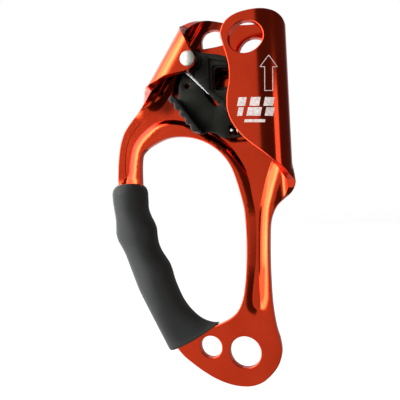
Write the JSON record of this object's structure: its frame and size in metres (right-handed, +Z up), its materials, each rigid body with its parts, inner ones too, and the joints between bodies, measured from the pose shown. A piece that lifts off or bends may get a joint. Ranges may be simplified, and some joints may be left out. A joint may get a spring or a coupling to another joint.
{
  "type": "ascender",
  "caption": "Left-hand handled rope ascender with a folded metal frame, toothed cam, thumb trigger, rubber grip and connector holes.",
  "frame": {"origin": "on the rope's centre line in the middle of the rope channel, level with the cam's pivot rivet", "axes": "+Z up along the rope, +X towards the channel's closed side, +Y towards the back plate, so the viewer who faces the cam looks along +Y"},
  "size_m": [0.0993, 0.0306, 0.1914],
  "materials": {
    "orange_anodised_aluminium": "glossy orange-red anodised",
    "black_rubber": "matt moulded",
    "black_steel": "black oxide, satin",
    "bright_steel": "plated, satin",
    "spring_steel": "drawn wire",
    "bronze": "plain bearing bronze",
    "black_plastic": "moulded, ribbed"
  },
  "bodies": {
    "frame": {"frame_plate": "orange_anodised_aluminium", "handle_grip": "black_rubber", "cam_pivot_rivet": "bright_steel", "cam_pivot_bush": "bronze", "cam_front_washer": "bright_steel", "cam_back_washer": "bright_steel", "cam_torsion_spring": "spring_steel"},
    "cam": {"cam_body": "black_steel", "trigger_guide_pin": "bright_steel", "spring_seat_pin": "bright_steel"},
    "trigger": {"trigger_lever": "black_steel", "trigger_thumb_pad": "black_plastic", "trigger_return_spring": "spring_steel"}
  },
  "joints": [
    {"name": "cam_pivot", "type": "hinge", "parent": "frame", "child": "cam", "pos_m": [-0.036, 0, 0], "axis": [0, 1, 0], "range_deg": [0, 31], "stiffness_Nm_per_rad": 0.25, "springref_deg": -28.65, "deforming": ["cam_torsion_spring"]},
    {"name": "trigger_pivot", "type": "hinge", "parent": "cam", "child": "trigger", "pos_m": [-0.036, 0, 0], "axis": [0, 1, 0], "range_deg": [0, 3], "stiffness_Nm_per_rad": 0.3, "springref_deg": -17.19, "deforming": ["trigger_return_spring"]}
  ]
}
